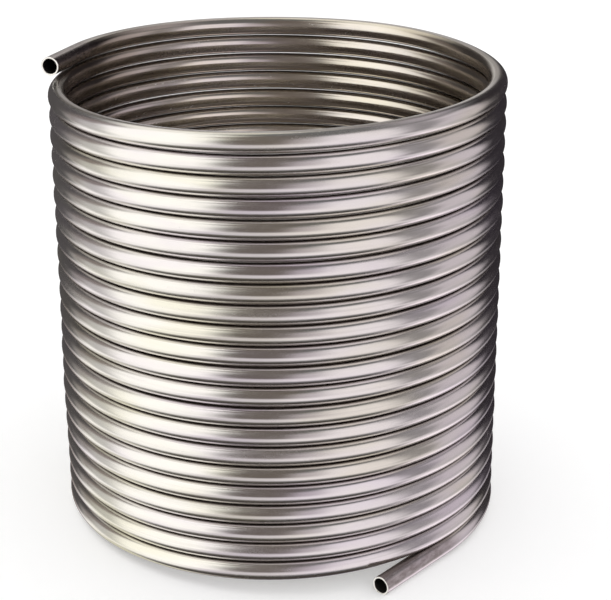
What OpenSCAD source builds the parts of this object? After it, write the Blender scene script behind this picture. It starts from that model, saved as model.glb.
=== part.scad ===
// Immersion wort chiller: one length of stainless tube, close wound into an upright cylindrical coil
// with a straight open leg at each end. Cold water runs through the bore while the coil stands in
// the hot wort. Millimetres, +Z up from the surface that the coil stands on.
//
// The winding is a chain of half turns. Each half turn is a true circular tube bend whose plane is
// tipped about the Y axis, one way on even half turns and the other way on odd ones, so that the
// ends of neighbouring bends share one circle and one direction and the tube climbs without a kink.
// Bearings are degrees counter-clockwise from +X seen from above, and go on past 360 up the coil.
//
// The tube's five stretches, from the toe up, are the lower leg, the lower, middle and upper thirds
// of the turns and the upper leg. Each meets the next face to face, so that the tube is unbroken.

/* [Tube] */
// Outside diameter of the tube, 3/8 inch
tube_od = 9.525; // [6:0.025:12.5]
// Thickness of the tube's wall
tube_wall = 0.9; // [0.6:0.05:1.5]

/* [Coil] */
// Mean diameter of the coil, to the middle of the tube
coil_d = 218; // [150:1:320]
// Whole turns from the first pass of +X to the last
turns = 22; // [6:1:23]
// Clear height between one turn and the next
turn_gap = 0.65; // [0.5:0.05:3]

/* [Lower leg] */
// Bearing at which the lower leg runs straight out of the first turn
lower_bearing = -42; // [-70:1:-20]
// Straight length of the lower leg
lower_leg_length = 50; // [20:1:90]

/* [Upper leg] */
// Bearing at which the upper leg runs straight out of the last turn
upper_bearing = 161; // [110:1:170]
// Straight length of the upper leg
upper_leg_length = 32; // [15:1:90]

/* [Footing] */
// Depth of the flats that the coil stands on
flat_depth = 0.5; // [0.2:0.05:0.5]

/* [Hidden] */

QUARTER_TURN = 90;
HALF_TURN = 180;
FULL_TURN = 360;
UP = [0, 0, 1];

tube_r = tube_od / 2;
bore_r = tube_r - tube_wall;
coil_r = coil_d / 2;
// Fold from each half turn's plane to the next, which carries the tube half a pitch up. Its cosine is
// a whole number of millionths, so that one bend runs into the next without a step.
MILLIONTH = 1e-6;
wanted_fold = 2 * asin((tube_od + turn_gap) / (2 * coil_d));
fold = acos(MILLIONTH * round(cos(wanted_fold) / MILLIONTH));
tip = fold / 2;
pitch = 2 * coil_d * sin(tip);
winding_end = FULL_TURN * turns + upper_bearing;

steel = [0.73, 0.71, 0.69];
SECTION_FACETS = 32;
BEND_FACETS = 96;

// ---- The tube's middle line ----

function half_of(bearing) = floor(bearing / HALF_TURN);
function within(bearing) = bearing - HALF_TURN * half_of(bearing);
function mid_height(half) = pitch * (2 * half + 1) / 4;

// Point of the middle line at a bearing, before the coil is stood on its footing
function wound(bearing) = [
    coil_r * cos(tip) * cos(bearing),
    coil_r * sin(bearing),
    mid_height(half_of(bearing)) - coil_r * sin(tip) * cos(within(bearing))
];

// Direction of the winding there, up the coil
function heading(bearing) = [
    -cos(tip) * sin(bearing),
    cos(bearing),
    sin(tip) * sin(within(bearing))
];

// Half turn that each third of the winding begins with, and past the last third the winding's end
THIRDS = 3;
first_half = half_of(lower_bearing);
halves = half_of(winding_end) + 1 - first_half;
function opening_half(third) = first_half + round(halves * third / THIRDS);

toe = wound(lower_bearing) - lower_leg_length * heading(lower_bearing);
tap = wound(winding_end) + upper_leg_length * heading(winding_end);

// ---- Standing ----
// A rigid helix stands on the end of its lower leg, the toe, and on the side of its lowest turn that
// faces the toe across the coil, the heel. The coil is tilted until both lie level.

heel_bearing = atan2(toe.y, toe.x) + HALF_TURN;
heel = wound(heel_bearing);
footing_cross = cross(heel - toe, heading(heel_bearing));
footing_normal = footing_cross / norm(footing_cross);
lean = acos(footing_normal.z);
lean_axis = cross(footing_normal, UP) / norm(cross(footing_normal, UP));

function leant(point) =
    point * cos(lean) + cross(lean_axis, point) * sin(lean)
    + lean_axis * (lean_axis * point) * (1 - cos(lean));

// The whole middle line in equal steps, legs included
STEPS_A_TURN = 72;
line_step = FULL_TURN / STEPS_A_TURN;
step_length = coil_r * line_step * PI / HALF_TURN;
middle_line = [
    for (back = [lower_leg_length : -step_length : step_length])
        wound(lower_bearing) - back * heading(lower_bearing),
    for (bearing = [lower_bearing : line_step : winding_end]) wound(bearing),
    for (on = [step_length : step_length : upper_leg_length])
        wound(winding_end) + on * heading(winding_end)
];
leant_line = [for (point = concat(middle_line, [toe, tap])) leant(point)];

function low(axis) = min([for (point = leant_line) point[axis]]);
function high(axis) = max([for (point = leant_line) point[axis]]);

// The origin is under the middle of the whole part, on the surface that it stands on
stand_shift = [
    -(low(0) + high(0)) / 2,
    -(low(1) + high(1)) / 2,
    tube_r - flat_depth - leant(toe).z
];

// ---- Measures that the winding is checked by ----

function to_segment(point, a, b) =
    let (along = max(0, min(1, (point - a) * (b - a) / ((b - a) * (b - a)))))
    norm(point - a - along * (b - a));

SEARCH_STEPS = 4;
last_point = len(middle_line) - 1;
turn_spacings = [
    for (i = [0 : last_point - STEPS_A_TURN - SEARCH_STEPS])
        min([
            for (k = [-SEARCH_STEPS : SEARCH_STEPS - 1])
                to_segment(
                    middle_line[i],
                    middle_line[i + STEPS_A_TURN + k],
                    middle_line[i + STEPS_A_TURN + k + 1]
                )
        ])
];
least_gap = min(turn_spacings) - tube_od;
wound_length = (winding_end - lower_bearing) * PI / HALF_TURN * coil_r;
tube_length = lower_leg_length + wound_length + upper_leg_length;

echo(least_gap_between_turns = least_gap);
echo(tube_length = tube_length, lean_degrees = lean);
echo(toe_end = leant(toe) + stand_shift, toe_axis = -leant(heading(lower_bearing)));
echo(tap_end = leant(tap) + stand_shift, tap_axis = leant(heading(winding_end)));
echo(heel_flat = leant(heel) + stand_shift - (tube_r - flat_depth) * UP);

// ---- Solids ----

// Stands what is built round the coil's own axis on the two points of its footing
module stood() {
    translate(stand_shift) rotate(a = lean, v = lean_axis) children();
}

// Takes away what would reach below the surface that the coil stands on
module cut_flat() {
    block = 3 * (coil_d + lower_leg_length);
    difference() {
        children();
        translate([-block / 2, -block / 2, -tube_od]) cube([block, block, tube_od]);
    }
}

// Plane of one half turn, with its bend's centre as the origin
module bend_plane(half) {
    translate([0, 0, mid_height(half)])
        rotate([0, 0, HALF_TURN * half])
            rotate([0, tip, 0])
                children();
}

// Ring that is bent or drawn out into tube, with its facets counted from its underside
module tube_section() {
    rotate(-QUARTER_TURN)
        difference() {
            circle(r = tube_r, $fn = SECTION_FACETS);
            circle(r = bore_r, $fn = SECTION_FACETS);
        }
}

// Hollow bend in its own plane over one half turn, or over what the legs leave of the end ones
module bend(half) {
    from = max(0, lower_bearing - HALF_TURN * half);
    to = min(HALF_TURN, winding_end - HALF_TURN * half);
    rotate_extrude(angle = to - from, start = from, $fn = BEND_FACETS)
        translate([coil_r, 0]) tube_section();
}

// Straight hollow tube that leaves a turn at a bearing, down the winding or up it
module leg(bearing, length, up_the_winding) {
    bend_plane(half_of(bearing))
        rotate([0, 0, within(bearing)])
            translate([coil_r, 0, 0])
                rotate([up_the_winding ? -QUARTER_TURN : QUARTER_TURN, 0, 0])
                    linear_extrude(length) tube_section();
}

// From the plane of one half turn to the plane of the next, round the ring that they share
module next_plane() {
    translate([-coil_r, 0, 0])
        rotate([0, -fold, 0])
            rotate([0, 0, HALF_TURN])
                translate([-coil_r, 0, 0])
                    children();
}

// Plane of a half turn, reached ring by ring from the first
module wound_plane(half) {
    if (half == first_half) bend_plane(half) children();
    else wound_plane(half - 1) next_plane() children();
}

// One third of the winding, counted from 0 at the bottom
module third_of_winding(third) {
    stood()
        for (half = [opening_half(third) : opening_half(third + 1) - 1])
            wound_plane(half) bend(half);
}

module lower_leg() {
    color(steel) cut_flat() stood() leg(lower_bearing, lower_leg_length, false);
}

module lower_turns() {
    color(steel) cut_flat() third_of_winding(0);
}

module middle_turns() {
    color(steel) third_of_winding(1);
}

module upper_turns() {
    color(steel) third_of_winding(2);
}

module upper_leg() {
    color(steel) stood() leg(winding_end, upper_leg_length, true);
}

lower_leg();
lower_turns();
middle_turns();
upper_turns();
upper_leg();
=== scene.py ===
"""Looks of an immersion wort chiller: one length of drawn stainless tube, close wound into a coil.

The tube is swept as it is made: a straight stock tube with a cut and deburred end is bent round
the coil, turn by turn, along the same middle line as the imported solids. Each stretch of it stands
for the CAD node of that stretch. Metres, +Z up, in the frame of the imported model.
"""

import logging
from collections.abc import Mapping, Sequence
from dataclasses import dataclass, field
from enum import Enum
from functools import cached_property
from math import asin, atan2, ceil, cos, degrees, exp, floor, pi, radians, sin, tau

import bpy
import numpy as np
from bpy.types import ID, Material, NodeSocket, Object, bpy_prop_collection
from mathutils import Matrix, Vector

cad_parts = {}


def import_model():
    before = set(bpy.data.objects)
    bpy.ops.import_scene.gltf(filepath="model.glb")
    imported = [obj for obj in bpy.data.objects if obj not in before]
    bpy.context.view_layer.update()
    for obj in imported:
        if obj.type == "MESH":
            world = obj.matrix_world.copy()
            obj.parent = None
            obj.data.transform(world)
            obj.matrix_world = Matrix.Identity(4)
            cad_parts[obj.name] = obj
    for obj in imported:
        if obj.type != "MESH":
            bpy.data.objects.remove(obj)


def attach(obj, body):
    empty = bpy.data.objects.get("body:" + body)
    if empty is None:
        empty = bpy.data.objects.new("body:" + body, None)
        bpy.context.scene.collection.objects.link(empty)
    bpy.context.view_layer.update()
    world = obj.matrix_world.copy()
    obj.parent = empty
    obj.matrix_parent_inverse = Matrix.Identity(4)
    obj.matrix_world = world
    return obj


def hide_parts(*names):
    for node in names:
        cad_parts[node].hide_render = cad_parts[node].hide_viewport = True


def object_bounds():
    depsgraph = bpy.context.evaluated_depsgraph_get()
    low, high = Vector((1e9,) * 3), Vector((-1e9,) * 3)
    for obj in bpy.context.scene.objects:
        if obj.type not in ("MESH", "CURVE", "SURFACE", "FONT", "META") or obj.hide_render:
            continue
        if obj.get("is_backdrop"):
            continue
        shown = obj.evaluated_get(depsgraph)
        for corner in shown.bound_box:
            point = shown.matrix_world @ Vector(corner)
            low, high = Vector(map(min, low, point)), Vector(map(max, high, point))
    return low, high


LOG = logging.getLogger("wort_chiller")
BODY = "root"
UP = Vector((0.0, 0.0, 1.0))
STOCK_PLACE = "stock_place"
BAKE_MAP = "OFBake"

Pair = tuple[float, float]
Colour = tuple[float, float, float]
Wave = tuple[float, float, float]
Edges = tuple[float, float, float, float]
Key = str | int


# ---- The tube's middle line ----


@dataclass(frozen=True)
class StockTube:
    """Stainless tube as it is bought, before it is wound.

    Attributes:
        outside: Outside diameter.
        wall: Thickness of the wall.
        burr_break: Width of the small bevels that deburring leaves on a cut end.
    """

    outside: float = 0.009525
    wall: float = 0.0009
    burr_break: float = 0.00012

    @property
    def radius(self) -> float:
        """Outside radius."""
        return self.outside / 2

    @property
    def bore_radius(self) -> float:
        """Radius of the bore."""
        return self.radius - self.wall


@dataclass(frozen=True)
class Handwork:
    """What winding by hand round a former does to the true coil.

    Attributes:
        oval: Share by which a wound tube grows taller and narrower than it was.
        inward: Most that a turn stands inside its true line.
        upward: Most that a turn stands above or below its place, sag apart.
        swell: How far the middle turns stand above their place.
        crowd: How much further the turns of the upper half are pushed up and the lower down.
        settle: How far the top turn sits below its place all round.
        sag: How much further it sits down on the coil's left.
        settle_share: Share of the winding below which the turns haven't settled.
        lift: How far the top turn springs up at the back, on the coil's right.
        lift_share: Share of the winding above which the turns spring up.
        lift_bearing: Bearing at which they spring up most.
        lift_power: How narrow the lifted stretch is.
        bulge: How far the lower turns stand out on the coil's left.
        bulge_share: Share of the winding at which they stand out most.
        bulge_spread: Share over which that dies away.
        wander: Size, pace and start of each sine in the way inward.
        waver: Size, pace and start of each sine in the way up.
        fade: Bearing in degrees over which all of it grows from nothing at each end.
        even_fade: Bearing over which the climb grows as even as a screw's at each end.
    """

    oval: float = 0.030
    inward: float = 0.00026
    upward: float = 0.00007
    swell: float = 0.00020
    crowd: float = 0.00020
    settle: float = 0.00030
    sag: float = 0.00020
    settle_share: float = 0.375
    lift: float = 0.0013
    lift_share: float = 0.75
    lift_bearing: float = 52.0
    lift_power: int = 24
    bulge: float = 0.0006
    bulge_share: float = 0.30
    bulge_spread: float = 0.13
    wander: tuple[Wave, ...] = ((0.3, 0.53, 1.1), (0.2, 1.37, 0.0))
    waver: tuple[Wave, ...] = ((0.7, 0.41, 2.3), (0.3, 2.17, 0.0))
    fade: float = 120.0
    even_fade: float = 2160.0

    def ease(self, bearing: float, ends: Pair, fade: float) -> float:
        """0 on the legs, 1 on the turns, and between the two near each end.

        Args:
            bearing: Bearing along the winding, in degrees.
            ends: Bearings that the winding starts and ends at.
            fade: Bearing over which it grows from 0 to 1.

        Returns:
            The share.
        """
        held = min(1.0, max(0.0, min(bearing - ends[0], ends[1] - bearing) / fade))
        return held * held * (3 - 2 * held)

    def shift(self, bearing: float, ends: Pair) -> Pair:
        """How far the middle line stands out and up at a bearing.

        Args:
            bearing: Bearing along the winding, in degrees.
            ends: Bearings that the winding starts and ends at.

        Returns:
            The outward and the upward shift.
        """
        angle, ease = radians(bearing), self.ease(bearing, ends, self.fade)
        inward, upward = (
            sum(size * sin(waves * angle + start) for size, waves, start in part)
            for part in (self.wander, self.waver)
        )
        share = min(1.0, max(0.0, (bearing - ends[0]) / (ends[1] - ends[0])))
        leftward = ((1 - cos(angle)) / 2) ** 3
        settled = max(0.0, (share - self.settle_share) / (1 - self.settle_share))
        sprung = max(0.0, (share - self.lift_share) / (1 - self.lift_share)) ** 2
        sprung *= cos((angle - radians(self.lift_bearing)) / 2) ** self.lift_power
        bulged = leftward * exp(-(((share - self.bulge_share) / self.bulge_spread) ** 2))
        rise = self.swell * sin(pi * share) - self.crowd * sin(tau * share)
        rise += ease * (self.upward * upward + self.lift * sprung)
        rise -= (self.settle + self.sag * leftward) * settled
        return self.bulge * bulged - self.inward * ease * (0.5 + inward), rise


@dataclass(frozen=True)
class Station:
    """One ring of the tube: where it is, which way the tube runs, and which way is outward.

    Attributes:
        centre: Middle of the tube, in the row frame.
        along: Unit direction of the tube, up the winding.
        outward: Unit direction away from the coil's axis, square to the tube.
        run: Length of tube from the lower end.
        phase: Bearing in whole turns, which the bake map is laid out by.
        oval: Share by which the tube is taller and narrower there than round.
    """

    centre: Vector
    along: Vector
    outward: Vector
    run: float
    phase: float
    oval: float

    @property
    def upward(self) -> Vector:
        """Unit direction up the side of the tube, square to the other two."""
        return self.outward.cross(self.along)


@dataclass(frozen=True)
class Winding:
    """The coil's middle line: half turns of true circles, each tipped against the one before.

    Bearings are degrees counter-clockwise from +X seen from above, and go on past 360.

    Attributes:
        tube: The stock tube.
        mean_diameter: Diameter of the coil to the middle of the tube.
        turns: Whole turns from the first pass of +X to the last.
        gap: Clear height between one turn and the next.
        lower_bearing: Bearing at which the lower leg leaves the first turn.
        lower_leg: Straight length of the lower leg.
        upper_bearing: Bearing at which the upper leg leaves the last turn.
        upper_leg: Straight length of the upper leg.
        flat: Depth of the flats that the coil stands on.
        handwork: What winding by hand does to it.
    """

    tube: StockTube = StockTube()
    mean_diameter: float = 0.218
    turns: int = 22
    gap: float = 0.00065
    lower_bearing: float = -42.0
    lower_leg: float = 0.050
    upper_bearing: float = 161.0
    upper_leg: float = 0.032
    flat: float = 0.0005
    handwork: Handwork = Handwork()

    @property
    def radius(self) -> float:
        """Mean radius of the coil."""
        return self.mean_diameter / 2

    @property
    def tip(self) -> float:
        """Angle that each half turn's plane is tipped by, in radians."""
        return asin((self.tube.outside + self.gap) / (2 * self.mean_diameter))

    @property
    def pitch(self) -> float:
        """Climb of one turn."""
        return 2 * self.mean_diameter * sin(self.tip)

    @property
    def last_bearing(self) -> float:
        """Bearing at which the upper leg leaves, counted from the first turn."""
        return 360.0 * self.turns + self.upper_bearing

    @property
    def ends(self) -> Pair:
        """Bearings that the winding starts and ends at."""
        return self.lower_bearing, self.last_bearing

    @property
    def length(self) -> float:
        """Length of the whole tube."""
        wound = radians(self.last_bearing - self.lower_bearing) * self.radius
        return self.lower_leg + wound + self.upper_leg

    def true_place(self, bearing: float) -> Vector:
        """Point of the true middle line, before the coil is stood on its footing."""
        half, angle = floor(bearing / 180), radians(bearing)
        level, rise = self.radius * cos(self.tip), self.radius * sin(self.tip)
        height = self.pitch * (2 * half + 1) / 4 - rise * cos(angle - pi * half)
        return Vector((level * cos(angle), self.radius * sin(angle), height))

    def heading(self, bearing: float) -> Vector:
        """Unit direction of the true middle line, up the winding."""
        half, angle = floor(bearing / 180), radians(bearing)
        level, rise = cos(self.tip), sin(self.tip) * sin(angle - pi * half)
        return Vector((-level * sin(angle), cos(angle), rise)).normalized()

    @property
    def toe(self) -> Vector:
        """Middle of the lower leg's open end, before the coil is stood on its footing."""
        leaving = self.true_place(self.lower_bearing)
        return leaving - self.lower_leg * self.heading(self.lower_bearing)

    @cached_property
    def stood(self) -> Matrix:
        """Turn and shift to the row frame, where the coil stands on its toe and first turn."""
        toe = self.toe
        heel_bearing = degrees(atan2(toe.y, toe.x)) + 180
        heel = self.true_place(heel_bearing)
        level = (heel - toe).cross(self.heading(heel_bearing)).normalized()
        lean = level.rotation_difference(UP).to_matrix()
        line = [lean @ p for p in self.outline_points()]
        middle = [(min(p[k] for p in line) + max(p[k] for p in line)) / 2 for k in (0, 1)]
        rise = self.tube.radius - self.flat - (lean @ toe).z
        return Matrix.Translation((-middle[0], -middle[1], rise)) @ lean.to_4x4()

    def outline_points(self) -> list[Vector]:
        """Points of the true middle line, both ends included, that the origin is centred on."""
        step = 5.0
        count = int((self.last_bearing - self.lower_bearing) / step)
        wound = [self.true_place(self.lower_bearing + step * k) for k in range(count + 1)]
        tap = self.true_place(self.last_bearing)
        tap += self.upper_leg * self.heading(self.last_bearing)
        return [self.toe, *wound, tap]

    def station(self, bearing: float, beyond: float = 0.0) -> Station:
        """Ring of the tube at a bearing, or on the leg that leaves there.

        Args:
            bearing: Bearing along the winding, in degrees.
            beyond: Distance along the straight from that bearing, negative down the lower leg.

        Returns:
            The ring, in the row frame.
        """
        step = 0.25
        before, after = self.wound_place(bearing - step), self.wound_place(bearing + step)
        along = (after - before).normalized()
        radial = self.radial(bearing)
        outward = (radial - radial.dot(along) * along).normalized()
        place = self.wound_place(bearing) + beyond * along
        turn = self.stood.to_3x3()
        wound = radians(bearing - self.lower_bearing) * self.radius
        work = self.handwork
        return Station(
            centre=self.stood @ place,
            along=turn @ along,
            outward=turn @ outward,
            run=self.lower_leg + wound + beyond,
            phase=bearing / 360,
            oval=work.oval * work.ease(bearing, self.ends, work.fade),
        )

    def wound_place(self, bearing: float) -> Vector:
        """Point of the middle line as it was wound by hand, before the coil is stood."""
        work, place = self.handwork, self.true_place(bearing)
        out, rise = work.shift(bearing, self.ends)
        even = work.ease(bearing, self.ends, work.even_fade)
        rise += (self.pitch * bearing / 360 - place.z) * even
        return place + out * self.radial(bearing) + rise * UP

    @staticmethod
    def radial(bearing: float) -> Vector:
        """Unit direction level outward from the coil's axis."""
        return Vector((cos(radians(bearing)), sin(radians(bearing)), 0.0))

    def third_bearings(self, third: int) -> Pair:
        """Bearings that one third of the winding runs between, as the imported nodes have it.

        Args:
            third: 0 for the lowest third of the turns, 1 for the middle and 2 for the highest.

        Returns:
            The bearings of its two ends.
        """
        first = floor(self.lower_bearing / 180)
        halves = floor(self.last_bearing / 180) + 1 - first
        low, high = (first + floor(halves * k / 3 + 0.5) for k in (third, third + 1))
        return max(self.lower_bearing, 180.0 * low), min(self.last_bearing, 180.0 * high)


# ---- Shader maths ----


class Wire:
    """A socket's output that can be reckoned with, each operation adding a Math node."""

    def __init__(self, graph: "Graph", socket: NodeSocket) -> None:
        """Wraps an output socket of a graph."""
        self.graph, self.socket = graph, socket

    def _math(self, operation: str, *values: "Value") -> "Wire":
        """One Math node over these values."""
        return self.graph.add("ShaderNodeMath", {"operation": operation}, dict(enumerate(values)))

    def __add__(self, other: "Value") -> "Wire":
        """Sum."""
        return self._math("ADD", self, other)

    __radd__ = __add__

    def __sub__(self, other: "Value") -> "Wire":
        """Difference."""
        return self._math("SUBTRACT", self, other)

    def __rsub__(self, other: "Value") -> "Wire":
        """Difference from a value on the left."""
        return self._math("SUBTRACT", other, self)

    def __mul__(self, other: "Value") -> "Wire":
        """Product."""
        return self._math("MULTIPLY", self, other)

    __rmul__ = __mul__

    def __truediv__(self, other: "Value") -> "Wire":
        """Quotient."""
        return self._math("DIVIDE", self, other)

    def __rtruediv__(self, other: "Value") -> "Wire":
        """Quotient of a value on the left."""
        return self._math("DIVIDE", other, self)

    def max(self, other: "Value") -> "Wire":
        """The larger of two values."""
        return self._math("MAXIMUM", self, other)

    def size(self) -> "Wire":
        """Value without its sign."""
        return self._math("ABSOLUTE", self)

    def cosine(self) -> "Wire":
        """Cosine of an angle in radians."""
        return self._math("COSINE", self)

    def band(self, low: float, high: float, start: float = 0.0, end: float = 1.0) -> "Wire":
        """The value carried smoothly from one range to another and held at its ends.

        Args:
            low: Value that gives start.
            high: Value that gives end.
            start: Result at low.
            end: Result at high.

        Returns:
            The value in its new range.
        """
        return self.graph.add(
            "ShaderNodeMapRange",
            {"interpolation_type": "SMOOTHSTEP"},
            {"Value": self, "From Min": low, "From Max": high, "To Min": start, "To Max": end},
        )


Value = Wire | float | Sequence[float]


class Graph:
    """Material with the node tree of one finish, and a single way to add each node."""

    def __init__(self, name: str) -> None:
        """Makes a material with nothing but its output."""
        self.material = bpy.data.materials.new(name)
        self.material.use_nodes = True
        self.tree = self.material.node_tree
        self.tree.nodes.clear()
        self.output = self.tree.nodes.new("ShaderNodeOutputMaterial")

    def add(
        self,
        kind: str,
        settings: Mapping[str, object] | None = None,
        inputs: Mapping[Key, Value] | None = None,
        result: Key = 0,
    ) -> Wire:
        """Adds a node, sets it, fills or links its sockets, and hands back one output.

        Args:
            kind: The node's type.
            settings: Properties of the node, set before its sockets.
            inputs: Value or link of each socket, by its name, identifier or place.
            result: Output wanted, by its name, identifier or place.

        Returns:
            That output.
        """
        node = self.tree.nodes.new(kind)
        for name, setting in (settings or {}).items():
            setattr(node, name, setting)
        for name, value in (inputs or {}).items():
            socket = self._find(node.inputs, name)
            if isinstance(value, Wire):
                self.tree.links.new(value.socket, socket)
            elif isinstance(value, Sequence) and socket.type == "RGBA":
                socket.default_value = (*value, 1.0)[:4]
            else:
                socket.default_value = value
        return Wire(self, self._find(node.outputs, result))

    @staticmethod
    def _find(sockets: bpy_prop_collection, name: Key) -> NodeSocket:
        """The socket of that identifier, name or place."""
        found = [socket for socket in sockets if socket.identifier == name]
        return found[0] if found else sockets[name]

    def mix(self, first: Value, second: Value, share: Value) -> Wire:
        """Colour between two colours.

        Args:
            first: Colour where share is 0.
            second: Colour where share is 1.
            share: How much of the second shows.

        Returns:
            The mixed colour.
        """
        return self.add(
            "ShaderNodeMix",
            {"data_type": "RGBA"},
            {"Factor_Float": share, "A_Color": first, "B_Color": second},
            "Result_Color",
        )

    def stock_place(self) -> Wire:
        """Place of each point on the straight stock tube: along it, then across it twice."""
        return self.add("ShaderNodeAttribute", {"attribute_name": STOCK_PLACE}, result="Vector")

    def grain(
        self, place: Value, blots: Sequence[float], detail: float = 2.0, roughness: float = 0.5
    ) -> Wire:
        """Soft noise from 0 to 1.

        Args:
            place: Place of each point.
            blots: Blots to a metre in each of its three directions.
            detail: Octaves of finer noise.
            roughness: How strong the finer octaves are.

        Returns:
            The noise.
        """
        spread = self.add("ShaderNodeVectorMath", {"operation": "MULTIPLY"}, {0: place, 1: blots})
        return self.add(
            "ShaderNodeTexNoise",
            {"noise_dimensions": "3D"},
            {"Vector": spread, "Scale": 1.0, "Detail": detail, "Roughness": roughness},
        )

    def bump(self, height: Value, strength: float, distance: float) -> Wire:
        """Normal of a surface that a height roughens."""
        inputs = {"Strength": strength, "Distance": distance, "Height": height}
        return self.add("ShaderNodeBump", inputs=inputs, result="Normal")

    def end(self, shader: Wire) -> Material:
        """Links a shader to the output and hands back the finished material."""
        self.tree.links.new(shader.socket, self.output.inputs["Surface"])
        return self.material

    def steel(self, **inputs: Value) -> Material:
        """Ends the graph in a metal Principled shader with these sockets."""
        named = {name.replace("_", " "): value for name, value in inputs.items()}
        return self.end(self.add("ShaderNodeBsdfPrincipled", inputs={"Metallic": 1.0, **named}))

    def glow(self, colour: Value, strength: Value = 1.0) -> Material:
        """Ends the graph in a surface that only gives light."""
        inputs = {"Color": colour, "Strength": strength}
        return self.end(self.add("ShaderNodeEmission", inputs=inputs))


# ---- Finishes ----


@dataclass(frozen=True)
class DrawnSteel:
    """Satin-bright drawn stainless: fine die lines, handling haze, rub marks between turns, and
    painted shade in the grooves, inside the coil and on top of the legs.

    Attributes:
        winding: The coil that the tube is wound into.
        bright: Colour of the clean metal.
        warm: Straw tint that the metal takes in patches.
        cool: Faint violet-grey tint of other patches.
        dull: Colour of the stronger die lines and of the rub marks at the tube's top and bottom,
            which also paint shade into the grooves between turns.
        groove_shade: Colour of the painted shade in the narrow gaps between turns.
        inside_shade: Colour of the painted shade on the side that faces the coil's middle.
        side_wall_shade: Colour of the darker painted shade on that side at the coil's left and
            right.
        leg_shade: Colour of the painted shade on the upper side of each leg.
        reach: How far that painted shade reaches into the turns.
        polish: Roughness of the cleanest metal.
        haze: Roughness where it has been handled.
    """

    winding: Winding
    bright: Colour = (0.775, 0.757, 0.738)
    warm: Colour = (0.748, 0.730, 0.645)
    cool: Colour = (0.728, 0.690, 0.728)
    dull: Colour = (0.560, 0.540, 0.520)
    groove_shade: Colour = (0.200, 0.168, 0.150)
    inside_shade: Colour = (0.660, 0.588, 0.490)
    side_wall_shade: Colour = (0.250, 0.212, 0.172)
    leg_shade: Colour = (0.300, 0.262, 0.250)
    reach: float = 0.014
    polish: float = 0.15
    haze: float = 0.27

    def make(self) -> Material:
        """Builds the material from each point's place on the straight stock tube."""
        graph = Graph("drawn_stainless")
        place = graph.stock_place()
        run, across, upward = (
            graph.add("ShaderNodeSeparateXYZ", inputs={"Vector": place}, result=name)
            for name in "XYZ"
        )
        lines = graph.grain(place, (9, 1900, 1900), 3.0, 0.62)
        streaks = graph.grain(place, (5, 430, 430), 2.0, 0.55)
        patches = graph.grain(place, (13, 55, 55), 3.0, 0.55)
        tints = graph.grain(place, (15, 70, 70))
        specks = graph.grain(place, (240, 900, 900), 2.0, 0.6)
        mottle = graph.grain(place, (170, 520, 520), 3.0, 0.6)
        rise = upward / self.winding.tube.radius
        side, inside = rise.size(), across.band(0.0010, -0.0034)
        # Painted shade on the upper side of each leg, mottled.
        leg_shade = self.legs(run) * rise.band(-0.45, 0.05) * mottle.band(0.32, 0.64, 0.62, 1.0)
        # Painted shade, darkest on the inner walls at the coil's left and right.
        wall_shade = self.sideways(run) * tints.band(0.30, 0.60, 0.55, 0.85)
        # Rub marks and painted shade, in patches at the tube's top and bottom next to the grooves.
        rub_and_shade = side.band(0.90, 0.995) * patches.band(0.35, 0.62)
        # Painted shade in the grooves: the tube darkens towards its top and bottom, where the turns
        # lie close.
        edge = side + (patches - 0.5) * 0.08 + (streaks - 0.5) * 0.05
        deep_shade = edge.band(0.87, 0.975)
        colour = graph.mix(self.bright, self.warm, tints.band(0.50, 0.70, 0.0, 0.95))
        for coat, share in (
            (self.cool, tints.band(0.50, 0.32, 0.0, 0.9)),
            (self.dull, streaks.band(0.56, 0.74, 0.0, 0.30)),
            (self.dull, rub_and_shade * 0.75),
            # Painted shade on the side of the tube that faces the coil's middle.
            (self.inside_shade, inside * tints.band(0.30, 0.60, 0.34, 0.62)),
            (self.side_wall_shade, inside * wall_shade),
            (self.groove_shade, deep_shade * 0.68),
            (self.leg_shade, leg_shade * 0.85),
        ):
            colour = graph.mix(colour, coat, share)
        handled = patches.band(0.40, 0.70) * 0.65 + streaks.band(0.40, 0.75) * 0.35
        rough = self.polish + handled * (self.haze - self.polish) + (lines - 0.5) * 0.07
        rough = rough + rub_and_shade * 0.10 + deep_shade * 0.08 + specks.band(0.62, 0.74) * 0.05
        rough = rough + leg_shade * 0.10 + mottle.band(0.40, 0.66) * 0.03
        height = lines * 0.55 + streaks * 0.9 + specks.band(0.66, 0.78) * -0.35
        return graph.steel(
            Base_Color=colour,
            Roughness=rough.max(0.08),
            Normal=graph.bump(height, 0.16, 0.00006),
            Anisotropic=0.25,
        )

    def legs(self, run: Wire) -> Wire:
        """1 on both legs, fading out over a little of the turns next to them."""
        low, high = self.winding.lower_leg, self.winding.length - self.winding.upper_leg
        lower = run.band(low + self.reach, low - 0.004)
        return lower.max(run.band(high - self.reach, high - 0.002))

    def sideways(self, run: Wire) -> Wire:
        """1 at the coil's left and right, 0 at its front and back."""
        bearing = (run - self.winding.lower_leg) / self.winding.radius
        bearing = bearing + radians(self.winding.lower_bearing)
        return bearing.cosine().size().band(0.50, 0.95)


@dataclass(frozen=True)
class CutSteel:
    """Freshly sawn and deburred end of the tube, bright with fine arcs across it.

    Attributes:
        bright: Colour of the cut metal.
        shade: Colour in the saw's arcs.
    """

    bright: Colour = (0.86, 0.85, 0.835)
    shade: Colour = (0.66, 0.65, 0.64)

    def make(self) -> Material:
        """Builds the material from each point's place on the straight stock tube."""
        graph = Graph("cut_stainless")
        place = graph.stock_place()
        arcs = graph.grain(place, (50, 5200, 900), 2.0, 0.6)
        nicks = graph.grain(place, (1500, 1500, 1500), 1.0)
        return graph.steel(
            Base_Color=graph.mix(self.bright, self.shade, arcs.band(0.45, 0.72, 0.0, 0.8)),
            Roughness=arcs.band(0.3, 0.8, 0.26, 0.40),
            Normal=graph.bump(arcs + nicks * 0.4, 0.3, 0.00005),
        )


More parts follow.
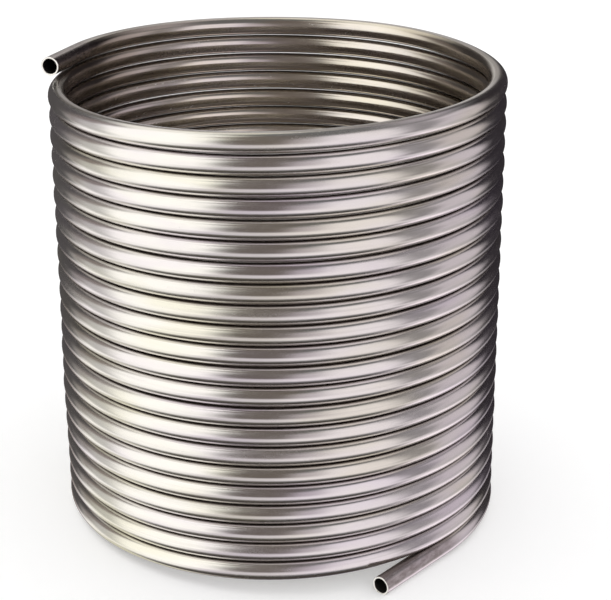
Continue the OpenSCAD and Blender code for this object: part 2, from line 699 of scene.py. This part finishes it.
@dataclass(frozen=True)
class BoreSteel:
    """Dull inside of the tube, painted dark as shade, darker in blotches.

    Attributes:
        lighter: Lighter colour of the painted shade in the bore.
        deep_shade: Darker colour of the painted shade in the bore, in blotches.
    """

    lighter: Colour = (0.200, 0.195, 0.190)
    deep_shade: Colour = (0.105, 0.100, 0.095)

    def make(self) -> Material:
        """Builds the material from each point's place on the straight stock tube."""
        graph = Graph("bore_stainless")
        place = graph.stock_place()
        lines = graph.grain(place, (20, 1100, 1100), 2.0, 0.6)
        blotches = graph.grain(place, (60, 260, 260), 3.0)
        return graph.steel(
            # Painted shade: the bore's dark colour, darker in blotches.
            Base_Color=graph.mix(self.lighter, self.deep_shade, blotches.band(0.35, 0.68)),
            Roughness=lines.band(0.25, 0.75, 0.42, 0.60),
        )


class Skin(Enum):
    """Surfaces of the tube, in the order of a piece's material slots."""

    OUTSIDE = 0
    CUT = 1
    BORE = 2


@dataclass
class SteelKit:
    """The tube's materials, made once and shared by every stretch.

    Attributes:
        winding: The coil that the tube is wound into.
    """

    winding: Winding

    @cached_property
    def materials(self) -> dict[Skin, Material]:
        """Finish of each surface."""
        return {
            Skin.OUTSIDE: DrawnSteel(self.winding).make(),
            Skin.CUT: CutSteel().make(),
            Skin.BORE: BoreSteel().make(),
        }

    def dress(self, piece: Object) -> None:
        """Gives a piece the materials in the order of Skin."""
        for skin in Skin:
            piece.data.materials.append(self.materials[skin])


# ---- Stretches of the tube ----


class OpenEnd(Enum):
    """Which end of a stretch is cut open, as the way that the cut faces up the winding."""

    FIRST = -1
    NEITHER = 0
    LAST = 1

    @property
    def ring(self) -> int:
        """Place of the cut's ring in the list of a stretch's rings."""
        return min(0, -self.value)


class Strip(Enum):
    """Bottom and top of each strip of the bake map."""

    BORE = (0.01, 0.08)
    CUTS = (0.215, 0.290)
    LEG = (0.30, 0.98)
    TURNS = (0.09, 0.99)

    def row(self, number: int, rows: int) -> Pair:
        """Bottom and top of one of the rows that a strip is shared into, with a free margin.

        Args:
            number: The row, from 0 at the bottom.
            rows: Number of rows.

        Returns:
            The row's bottom and top.
        """
        bottom, top = self.value
        height, margin = (top - bottom) / rows, 1 / 18
        return bottom + height * (number + margin), bottom + height * (number + 1 - margin)


def placed(name: str, data: ID) -> Object:
    """An object of a mesh or a camera, linked to the scene."""
    thing = bpy.data.objects.new(name, data)
    bpy.context.scene.collection.objects.link(thing)
    return thing


@dataclass
class MeshRows:
    """Rings of points joined into skins, with normals, stock places and bake places.

    Attributes:
        points: Places of the vertices.
        normals: True normal at each vertex.
        stock: Place of each vertex on the straight stock tube.
        faces: Corners of each face.
        skins: Surface that each face belongs to.
        places: Bake place of each face corner.
    """

    points: list[Vector] = field(default_factory=list)
    normals: list[Vector] = field(default_factory=list)
    stock: list[Vector] = field(default_factory=list)
    faces: list[tuple[int, int, int, int]] = field(default_factory=list)
    skins: list[int] = field(default_factory=list)
    places: list[Pair] = field(default_factory=list)

    def ring(self, station: Station, radius: float, sides: int, slope: float, inset: float) -> int:
        """Adds one ring of points.

        Args:
            station: Where the ring is.
            radius: Distance of its points from the middle of the tube.
            sides: Number of its points.
            slope: Angle of the surface's normal from square outward towards up the winding.
            inset: Distance that the ring stands up the winding from the station.

        Returns:
            The number of its first point.
        """
        first, narrow, tall = len(self.points), 1 - station.oval, 1 + station.oval
        for side in range(sides):
            angle = tau * side / sides
            out, rise = cos(angle) * station.outward, sin(angle) * station.upward
            facing = (tall * out + narrow * rise).normalized()
            point = station.centre + radius * (narrow * out + tall * rise)
            point += inset * station.along
            normal = cos(slope) * facing + sin(slope) * station.along
            if point.z < 0:
                point.z, normal = 0.0, -UP
            self.points.append(point)
            self.normals.append(normal)
            across = radius * cos(angle), radius * sin(angle)
            self.stock.append(Vector((station.run + inset, *across)))
        return first

    def join(
        self,
        rings: tuple[int, int],
        sides: int,
        skin: Skin,
        corners: Edges,
        inward: bool = False,
    ) -> None:
        """Joins two rings with a band of faces.

        Args:
            rings: First points of the lower and the upper ring.
            sides: Points in each ring.
            skin: Surface that the band belongs to.
            corners: Bake place of the band: left, right, bottom and top.
            inward: Whether the band faces the middle of the tube.
        """
        low, high = rings
        left, right, bottom, top = corners
        for side in range(sides):
            after = (side + 1) % sides
            face = [low + side, high + side, high + after, low + after]
            down = bottom + (top - bottom) * side / sides
            up = bottom + (top - bottom) * (side + 1) / sides
            place = [(left, down), (right, down), (right, up), (left, up)]
            if inward:
                face.reverse()
                place.reverse()
            self.faces.append(tuple(face))
            self.places.extend(place)
            self.skins.append(skin.value)

    def piece(self, name: str) -> Object:
        """Turns the rows into an object.

        Args:
            name: Name of the piece.

        Returns:
            The object, linked to the scene.
        """
        mesh = bpy.data.meshes.new(name)
        mesh.from_pydata(self.points, [], self.faces)
        mesh.polygons.foreach_set("use_smooth", [True] * len(self.faces))
        mesh.polygons.foreach_set("material_index", self.skins)
        stock = mesh.attributes.new(STOCK_PLACE, "FLOAT_VECTOR", "POINT")
        stock.data.foreach_set("vector", np.array(self.stock, np.float32).ravel())
        layer = mesh.uv_layers.new(name=BAKE_MAP)
        layer.uv.foreach_set("vector", np.array(self.places, np.float32).ravel())
        mesh.update()
        mesh.normals_split_custom_set_from_vertices(self.normals)
        return placed(name, mesh)


@dataclass
class Stretch:
    """A length of the tube that stands for one CAD node.

    Attributes:
        node: The CAD node.
        winding: The coil's middle line.
        first: Bearing of its lower end.
        last: Bearing of its upper end.
        straight: Straight length past that bearing, on a leg.
        open_end: Which end is cut open.
        sides: Points round the outside.
        rings_a_turn: Rings of the outside in one turn.
        rings_a_leg: Bands of rings in a leg.
    """

    node: str
    winding: Winding
    first: float
    last: float
    straight: float = 0.0
    open_end: OpenEnd = OpenEnd.NEITHER
    sides: int = 32
    rings_a_turn: int = 120
    rings_a_leg: int = 12

    def stations(self) -> list[Station]:
        """Rings of the stretch from its lower end to its upper end."""
        if self.open_end is OpenEnd.NEITHER:
            count = round((self.last - self.first) / 360 * self.rings_a_turn)
            step = (self.last - self.first) / count
            return [self.winding.station(self.first + step * k) for k in range(count + 1)]
        start, count = min(0, self.open_end.value), self.rings_a_leg
        beyond = [self.straight * (start + k / count) for k in range(count + 1)]
        return [self.winding.station(self.first, distance) for distance in beyond]

    def corners(self, stations: Sequence[Station], k: int, skin: Skin) -> Edges:
        """Bake place of the band above ring k: one row to a turn on the outside of the turns.

        Args:
            stations: Rings of the stretch.
            k: Number of the band's lower ring.
            skin: Surface that the band belongs to.

        Returns:
            Left, right, bottom and top of the band.
        """
        if skin is Skin.BORE or self.open_end is not OpenEnd.NEITHER:
            strip, count = Strip.BORE if skin is Skin.BORE else Strip.LEG, len(stations) - 1
            return k / count, (k + 1) / count, *strip.value
        start, hair = stations[0].phase, 1e-6
        rows = ceil(stations[-1].phase - start - hair)
        row = min(rows - 1, int(stations[k].phase - start + hair))
        left, right = (stations[n].phase - start - row for n in (k, k + 1))
        return left, right, *Strip.TURNS.row(row, rows)

    def tube_rows(self, rows: MeshRows, stations: Sequence[Station], skin: Skin) -> None:
        """Sweeps the outside of the tube or its bore, short of the bevel at an open end.

        The bore has half the outside's points round it, and in the turns half its rings.

        Args:
            rows: The mesh in the making.
            stations: Rings of the stretch.
            skin: Which of the two is swept.
        """
        tube, inside = self.winding.tube, skin is Skin.BORE
        if inside and self.open_end is OpenEnd.NEITHER:
            stations = [*stations[:-1:2], stations[-1]]
        radius, slope = (tube.bore_radius, pi) if inside else (tube.radius, 0.0)
        sides = self.sides // 2 if inside else self.sides
        insets = [0.0] * len(stations)
        insets[self.open_end.ring] = -self.open_end.value * tube.burr_break
        rings = [rows.ring(s, radius, sides, slope, inset) for s, inset in zip(stations, insets)]
        for k, pair in enumerate(zip(rings, rings[1:])):
            rows.join(pair, sides, skin, self.corners(stations, k, skin), inward=inside)

    def cut_rows(self, rows: MeshRows, station: Station) -> None:
        """Closes an open end with its sawn face and the two bevels of the deburring.

        Args:
            rows: The mesh in the making.
            station: Ring at the end of the tube.
        """
        tube, sign, burr = self.winding.tube, self.open_end.value, self.winding.tube.burr_break
        bevel, square, back = sign * pi / 4, sign * pi / 2, -sign * burr
        outer, inner = tube.radius, tube.bore_radius
        bands = (
            ((outer, back, bevel), (outer - burr, 0.0, bevel)),
            ((outer - burr, 0.0, square), (inner + burr, 0.0, square)),
            ((inner + burr, 0.0, pi - bevel), (inner, back, pi - bevel)),
        )
        for number, band in enumerate(bands):
            rings = tuple(
                rows.ring(station, radius, self.sides, slope, inset)
                for radius, inset, slope in band
            )
            corners = (0.0, 1.0, *Strip.CUTS.row(number, len(bands)))
            rows.join(rings, self.sides, Skin.CUT, corners, inward=sign < 0)

    def build(self, kit: SteelKit) -> None:
        """Makes the stretch, dresses it and lets it stand for its node.

        Args:
            kit: The tube's materials.
        """
        rows, stations = MeshRows(), self.stations()
        self.tube_rows(rows, stations, Skin.OUTSIDE)
        self.tube_rows(rows, stations, Skin.BORE)
        if self.open_end is not OpenEnd.NEITHER:
            self.cut_rows(rows, stations[self.open_end.ring])
        piece = rows.piece(f"{self.node}_tube")
        kit.dress(piece)
        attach(piece, BODY)
        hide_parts(self.node)
        LOG.info("%s: %d faces", piece.name, len(piece.data.polygons))


@dataclass
class CoiledTube:
    """The whole chiller, from the open end of its lower leg to that of its upper leg."""

    winding: Winding = field(default_factory=Winding)

    def stretches(self) -> list[Stretch]:
        """The five stretches of the tube, lower end first."""
        winding = self.winding
        low, high = winding.lower_bearing, winding.last_bearing
        thirds = [
            Stretch(node, winding, *winding.third_bearings(third))
            for third, node in enumerate(("lower_turns", "middle_turns", "upper_turns"))
        ]
        lower = Stretch("lower_leg", winding, low, low, winding.lower_leg, OpenEnd.FIRST)
        upper = Stretch("upper_leg", winding, high, high, winding.upper_leg, OpenEnd.LAST)
        return [lower, *thirds, upper]

    def build(self, kit: SteelKit) -> None:
        """Makes every stretch."""
        for stretch in self.stretches():
            stretch.build(kit)


# ---- Studio ----


def panel(name: str, points: Sequence[Sequence[float]], faces: Sequence[Sequence[int]]) -> Object:
    """A plain surface of the studio."""
    mesh = bpy.data.meshes.new(name)
    mesh.from_pydata(points, [], faces)
    return placed(name, mesh)


def only_reflected(card: Object) -> None:
    """Hides a glowing card from the camera, from matt surfaces and from shadows."""
    card.visible_camera = card.visible_diffuse = card.visible_shadow = False


@dataclass(frozen=True)
class SoftBox:
    """A soft-edged light, reflector or flag painted on the inside of the light tent.

    Azimuths are degrees from the camera's side of the object, positive to the camera's right.
    Elevations are degrees above the level of the object's middle. Both ranges run to the middle
    of the soft edge.

    Attributes:
        azimuth: Its left and right edges.
        elevation: Its lower and upper edges.
        level: Brightness, where 1 is white.
        colour: Colour of its light.
        soft: Widths of its soft edges across and up.
    """

    azimuth: Pair
    elevation: Pair
    level: float
    colour: Colour
    soft: Pair

    def cover(self, azimuth: np.ndarray, elevation: np.ndarray) -> np.ndarray:
        """How much of this box shows in each direction.

        Args:
            azimuth: Azimuths of the directions.
            elevation: Elevations of the directions.

        Returns:
            0 outside the box, 1 inside it and between the two in its soft edges.
        """
        (left, right), (low, high), (across, up) = self.azimuth, self.elevation, self.soft
        off = np.abs((azimuth - (left + right) / 2 + 180) % 360 - 180)
        shown = eased(((right - left) / 2 - off) / across + 0.5)
        return shown * eased((elevation - low) / up + 0.5) * eased((high - elevation) / up + 0.5)


def eased(share: np.ndarray) -> np.ndarray:
    """Shares held between 0 and 1 and eased at both."""
    held = np.clip(share, 0.0, 1.0)
    return held * held * (3 - 2 * held)


WHITE: Colour = (1.0, 1.0, 1.0)
CREAM: Colour = (1.0, 0.980, 0.925)
STRAW: Colour = (1.0, 0.975, 0.875)
OLIVE: Colour = (1.0, 0.960, 0.790)
ROSE: Colour = (1.0, 0.930, 0.960)
PLUM: Colour = (1.0, 0.900, 0.955)
SMOKE: Colour = (1.0, 0.930, 0.930)
VIOLET: Colour = (1.0, 0.840, 1.000)
UMBER: Colour = (1.0, 0.850, 0.775)


@dataclass
class LightTent:
    """Round tent of boxes and flags that the steel reflects and that lights nothing else.

    Attributes:
        radius: Distance of the tent from the middle of the object.
        step: Degrees between its painted points.
        base: Brightness of the bare tent.
        boxes: What is painted on it, each over those before it.
    """

    radius: float = 3.0
    step: float = 4.0
    base: float = 0.16
    boxes: tuple[SoftBox, ...] = (
        # Foot of the tent: a pale table that darkens towards the object, with the object's shadow
        # painted on it
        SoftBox((-180, 180), (-41, 2), 0.90, ROSE, (8, 22)),
        SoftBox((-84, 0), (-64, -43), 0.15, OLIVE, (20, 10)),
        SoftBox((-132, -46), (-42, 0), 1.27, CREAM, (30, 18)),
        SoftBox((-38, -2), (-40, 0), 0.76, ROSE, (16, 14)),
        SoftBox((6, 64), (-39, -6), 1.04, ROSE, (14, 14)),
        SoftBox((-180, 180), (-90, -57), 0.07, UMBER, (8, 12)),
        SoftBox((84, 140), (-57, -32), 1.22, PLUM, (24, 14)),
        SoftBox((84, 140), (-34, -4), 0.58, ROSE, (16, 14)),
        SoftBox((-172, -104), (-74, -42), 0.80, OLIVE, (20, 14)),
        SoftBox((-172, -140), (-36, 0), 0.40, UMBER, (14, 14)),
        SoftBox((146, 200), (-70, 4), 0.14, VIOLET, (16, 14)),
        SoftBox((138, 176), (-52, -22), 0.42, PLUM, (16, 14)),
        # Left of the camera
        SoftBox((-196, -165), (-14, 45), 0.24, UMBER, (12, 12)),
        SoftBox((-165, -121), (-26, 34), 0.085, SMOKE, (12, 12)),
        SoftBox((-121, -98), (-18, 40), 0.26, UMBER, (10, 14)),
        SoftBox((-188, -50), (43, 72), 1.15, STRAW, (14, 12)),
        SoftBox((-98, -32), (-20, 70), 1.36, CREAM, (14, 12)),
        SoftBox((-112, -90), (-30, 12), 0.64, CREAM, (12, 16)),
        # Middle
        SoftBox((-46, 8), (46, 80), 0.16, UMBER, (12, 12)),
        SoftBox((-27, 8), (-10, 74), 0.165, UMBER, (12, 12)),
        SoftBox((5, 22), (-12, 36), 0.60, PLUM, (10, 26)),
        # Right of the camera
        SoftBox((20, 60), (-16, 48), 1.02, ROSE, (12, 14)),
        SoftBox((62, 82), (-26, 60), 0.30, ROSE, (10, 14)),
        SoftBox((82, 118), (-14, 38), 0.68, PLUM, (10, 14)),
        SoftBox((118, 170), (-26, 38), 0.03, VIOLET, (12, 10)),
        SoftBox((88, 172), (45, 64), 0.46, PLUM, (14, 10)),
        # Backdrop
        SoftBox((168, 192), (6, 50), 1.05, WHITE, (10, 10)),
    )

    def levels(self, azimuth: np.ndarray, elevation: np.ndarray) -> np.ndarray:
        """Colour of the tent in each direction.

        Args:
            azimuth: Azimuths of the directions.
            elevation: Elevations of the directions.

        Returns:
            One row of red, green, blue and alpha for each direction.
        """
        light = np.full((len(azimuth), 4), self.base)
        light[:, 3] = 1.0
        for box in self.boxes:
            shown = box.cover(azimuth, elevation)[:, None]
            painted = np.array([*(box.level * part for part in box.colour), 1.0])
            light = light * (1 - shown) + painted * shown
        return light

    def build(self, middle: Vector) -> None:
        """Makes the tent and paints it.

        Args:
            middle: Middle of the object.
        """
        across, tall = round(360 / self.step), round(180 / self.step)
        turn, rise = np.meshgrid(np.arange(across), np.arange(tall + 1))
        azimuth, pole = turn.ravel() * self.step - 180, 89.9
        elevation = (rise.ravel() * self.step - 90).clip(-pole, pole)
        east, up = np.radians(azimuth), np.radians(elevation)
        points = self.radius * np.stack(
            (np.cos(up) * np.sin(east), -np.cos(up) * np.cos(east), np.sin(up)), axis=1
        )
        faces = [
            (low + a, low + b, low + across + b, low + across + a)
            for low in range(0, tall * across, across)
            for a, b in zip(range(across), (*range(1, across), 0))
        ]
        tent = panel("light_tent", (points + np.array(middle)).tolist(), faces)
        paint = tent.data.attributes.new("tent_light", "FLOAT_COLOR", "POINT")
        paint.data.foreach_set("color", self.levels(azimuth, elevation).ravel())
        only_reflected(tent)
        graph = Graph("light_tent")
        light = graph.add("ShaderNodeAttribute", {"attribute_name": "tent_light"}, result="Color")
        tent.data.materials.append(graph.glow(light))
        tent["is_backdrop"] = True
        LOG.info("light tent: %d boxes", len(self.boxes))


@dataclass(frozen=True)
class WellCard:
    """A dark glowing disc on the floor inside the coil, which only the steel's reflections show:
    painted shade of the floor there.

    Attributes:
        radius: Its radius.
        height: How far it lies above the floor.
        level: Brightness, where 1 is white.
        colour: Colour of its light.
        sides: Corners of its rim.
    """

    radius: float = 0.100
    height: float = 0.001
    level: float = 0.10
    colour: Colour = UMBER
    sides: int = 48

    def build(self) -> None:
        """Lays the card."""
        turn = [tau * k / self.sides for k in range(self.sides)]
        rim = [(self.radius * cos(a), self.radius * sin(a), self.height) for a in turn]
        card = panel("well_card", rim, [tuple(range(self.sides))])
        only_reflected(card)
        card.data.materials.append(Graph("well_card").glow(self.colour, self.level))
        card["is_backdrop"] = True


@dataclass
class Studio:
    """White floor in a white room, and the tent that the steel reflects.

    Attributes:
        floor_size: Width of the floor.
        floor_colour: Colour of the floor.
        floor_glow: Light that the floor adds for rays that look at it.
        well_card: The dark card inside the coil, painted shade of the floor there.
        tent: The light tent.
    """

    floor_size: float = 9.0
    floor_colour: Colour = (0.86, 0.86, 0.86)
    floor_glow: float = 0.27
    well_card: WellCard = WellCard()
    tent: LightTent = field(default_factory=LightTent)

    def seen_rays(self, graph: Graph) -> Wire:
        """1 for rays from the camera, from shiny surfaces and through clear ones, otherwise 0."""
        kinds = [
            graph.add("ShaderNodeLightPath", result=name)
            for name in ("Is Camera Ray", "Is Glossy Ray", "Is Transmission Ray")
        ]
        return kinds[0].max(kinds[1]).max(kinds[2])

    def build_floor(self) -> None:
        """Lays the white floor, which keeps the object's shadow."""
        half = self.floor_size / 2
        corners = [(-half, -half, 0), (half, -half, 0), (half, half, 0), (-half, half, 0)]
        ground = panel("floor", corners, [(0, 1, 2, 3)])
        ground.visible_glossy = False
        graph = Graph("floor")
        matt = graph.add("ShaderNodeBsdfDiffuse", inputs={"Color": self.floor_colour})
        strength = self.seen_rays(graph) * self.floor_glow
        glow = graph.add("ShaderNodeEmission", inputs={"Strength": strength})
        both = graph.add("ShaderNodeAddShader", inputs={0: matt, 1: glow})
        ground.data.materials.append(graph.end(both))
        ground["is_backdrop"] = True

    def build_room(self) -> None:
        """Makes the room plain white, at a strength of 1."""
        world = bpy.data.worlds.new("white_room")
        bpy.context.scene.world = world
        world.use_nodes = True
        room = world.node_tree.nodes["Background"]
        room.inputs["Color"].default_value = (*WHITE, 1.0)
        room.inputs["Strength"].default_value = 1.0

    def build(self, middle: Vector) -> None:
        """Sets up the whole studio.

        Args:
            middle: Middle of the object.
        """
        self.build_floor()
        self.build_room()
        self.well_card.build()
        self.tent.build(middle)


@dataclass(frozen=True)
class Viewpoint:
    """The camera, placed from the coil's own axis before the coil is stood on its footing.

    Attributes:
        distance: Distance from the aim.
        elevation: Degrees above the aim.
        aim_height: Height of the aim on the coil's axis.
        pan: Degrees that the camera then turns left.
        tilt: Degrees that it then turns up.
        roll: Degrees that it then rolls.
        lens: Focal length in millimetres.
        sensor: Width of its sensor in millimetres.
    """

    distance: float = 0.8694
    elevation: float = 20.98
    aim_height: float = 0.10994
    pan: float = -0.878
    tilt: float = -0.326
    roll: float = 0.507
    lens: float = 98.26
    sensor: float = 36.0

    def build(self, winding: Winding) -> None:
        """Makes the scene's camera.

        Args:
            winding: The coil that it looks at.
        """
        rise = radians(self.elevation)
        place = self.distance * Vector((0.0, -cos(rise), sin(rise)))
        place.z += self.aim_height
        facing = Matrix.Rotation(pi / 2 - rise, 4, "X")
        for turn, axis in ((self.pan, "Y"), (self.tilt, "X"), (-self.roll, "Z")):
            facing = facing @ Matrix.Rotation(radians(turn), 4, axis)
        data = bpy.data.cameras.new("camera")
        data.lens, data.sensor_width = self.lens, self.sensor
        camera = placed("camera", data)
        camera.matrix_world = winding.stood @ Matrix.Translation(place) @ facing
        bpy.context.scene.camera = camera


def as_numbers(box: tuple[Vector, Vector]) -> list[list[float]]:
    """A box's two corners as plain lists."""
    return [[float(x) for x in corner] for corner in box]


def main() -> None:
    """Builds the chiller and its studio."""
    logging.basicConfig(level=logging.INFO, format="%(name)s %(message)s")
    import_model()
    packed = as_numbers(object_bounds())
    chiller = CoiledTube()
    chiller.build(SteelKit(chiller.winding))
    low, high = (Vector(corner) for corner in packed)
    Studio().build((low + high) / 2)
    Viewpoint().build(chiller.winding)
    scene = bpy.context.scene
    scene.view_settings.view_transform = "Standard"


if __name__ == "__main__":
    main()
